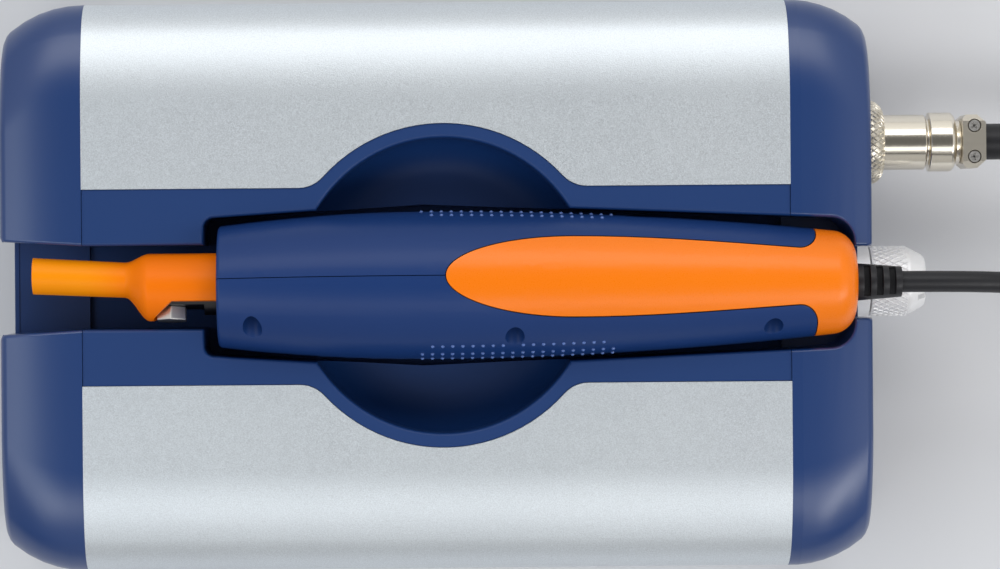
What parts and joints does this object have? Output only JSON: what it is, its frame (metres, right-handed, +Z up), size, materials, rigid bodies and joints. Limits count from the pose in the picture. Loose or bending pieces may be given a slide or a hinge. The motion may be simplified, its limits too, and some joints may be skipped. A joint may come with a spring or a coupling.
{
  "type": "ultrasonic cutter",
  "caption": "Ultrasonic cutter: a handpiece with a capped blade lying in the cradle of its bench generator, with finger scoops, front keys, rear connectors and a coiled cable.",
  "frame": {"origin": "on the table, under the middle of the generator", "axes": "+X along the generator from the blade end to the connectors, +Z up"},
  "size_m": [0.3702, 0.1394, 0.0779],
  "materials": {
    "satin_aluminium": "sand-blasted anodised",
    "housing_blue": "fine grained moulding",
    "handpiece_blue": "fine grained moulding",
    "orange_plastic": "smooth moulding",
    "orange_cap": "soft smooth moulding",
    "black_rubber": "matt",
    "cable_jacket": "satin",
    "black_plastic": "fine grained moulding",
    "panel_grey": "satin film",
    "display_glass": "polished",
    "key_grey": "satin",
    "nickel": "nickel plated, turned",
    "bright_steel": "machined",
    "dark_titanium": "machined",
    "brass_contacts": "turned",
    "piezo_ceramic": "ground",
    "ferrite": "ground",
    "copper_winding": "enamelled wire",
    "circuit_board": "solder mask",
    "component_black": "moulded",
    "sink_aluminium": "black anodised",
    "can_sleeve": "shrunk film"
  },
  "bodies": {
    "base": {"extruded_shell": "satin_aluminium", "cradle_tray": "housing_blue", "front_end_cap": "housing_blue", "rear_end_cap": "housing_blue", "rubber_feet": "black_rubber", "end_cap_screws": "bright_steel", "front_panel": "panel_grey", "display_window": "display_glass", "display_board": "circuit_board", "mains_inlet": "black_plastic", "inlet_pins": "bright_steel", "switch_frame": "black_plastic", "handpiece_socket": "nickel", "handpiece_socket_nut": "nickel", "handpiece_socket_insert": "black_plastic", "plug_insert": "brass_contacts", "plug_barrel": "nickel", "plug_clamp": "nickel", "plug_clamp_screws": "bright_steel", "plug_sleeve": "cable_jacket", "pedal_socket": "nickel", "pedal_socket_nut": "nickel", "pedal_socket_insert": "brass_contacts", "board_spacers": "brass_contacts", "main_board": "circuit_board", "transformer_core": "ferrite", "transformer_coil": "copper_winding", "heat_sink": "sink_aluminium", "power_transistors": "component_black", "filter_capacitors": "can_sleeve", "cable_lead": "cable_jacket", "cable_coil": "cable_jacket", "cable_return": "cable_jacket", "coil_tie": "black_rubber"},
    "handpiece": {"left_half_shell": "handpiece_blue", "right_half_shell": "handpiece_blue", "tail_sleeve": "orange_plastic", "shell_screws": "bright_steel", "strain_relief": "cable_jacket", "horn": "dark_titanium", "mounting_rings": "black_rubber", "electrode_discs": "brass_contacts", "piezo_rings": "piezo_ceramic", "back_mass": "bright_steel", "preload_bolt": "bright_steel", "blade": "bright_steel"},
    "clamp_bolt": {"clamp_bolt": "bright_steel"},
    "blade_cap": {"blade_cap": "orange_cap"},
    "coupling_nut": {"coupling_nut": "nickel"},
    "pedal_socket_cap": {"pedal_socket_cap": "nickel"},
    "power_key": {"power_key": "key_grey"},
    "up_key": {"up_key": "key_grey"},
    "down_key": {"down_key": "key_grey"},
    "mains_rocker": {"mains_rocker": "black_plastic"}
  },
  "joints": [
    {"name": "handpiece_lift", "type": "slide", "parent": "base", "child": "handpiece", "axis": [0, 0, 1], "range_m": [0, 0.06]},
    {"name": "blade_cap_pull", "type": "slide", "parent": "handpiece", "child": "blade_cap", "axis": [-1, 0, 0], "range_m": [0, 0.05]},
    {"name": "clamp_bolt_turn", "type": "hinge", "parent": "handpiece", "child": "clamp_bolt", "pos_m": [-0.0644, 0, 0.06], "axis": [0, 0.9903, -0.1392], "continuous": true},
    {"name": "coupling_nut_turn", "type": "hinge", "parent": "base", "child": "coupling_nut", "pos_m": [0.11, 0.035, 0.026], "axis": [1, 0, 0], "continuous": true},
    {"name": "socket_cap_turn", "type": "hinge", "parent": "base", "child": "pedal_socket_cap", "pos_m": [0.116, 0, 0.026], "axis": [1, 0, 0], "continuous": true},
    {"name": "power_key_press", "type": "slide", "parent": "base", "child": "power_key", "axis": [1, 0, 0], "range_m": [0, 0.0008], "stiffness_N_per_m": 600},
    {"name": "up_key_press", "type": "slide", "parent": "base", "child": "up_key", "axis": [1, 0, 0], "range_m": [0, 0.0008], "stiffness_N_per_m": 600},
    {"name": "down_key_press", "type": "slide", "parent": "base", "child": "down_key", "axis": [1, 0, 0], "range_m": [0, 0.0008], "stiffness_N_per_m": 600},
    {"name": "mains_rocker_tilt", "type": "hinge", "parent": "base", "child": "mains_rocker", "pos_m": [0.101, -0.016, 0.026], "axis": [0, -1, 0], "range_deg": [0, 16]}
  ]
}
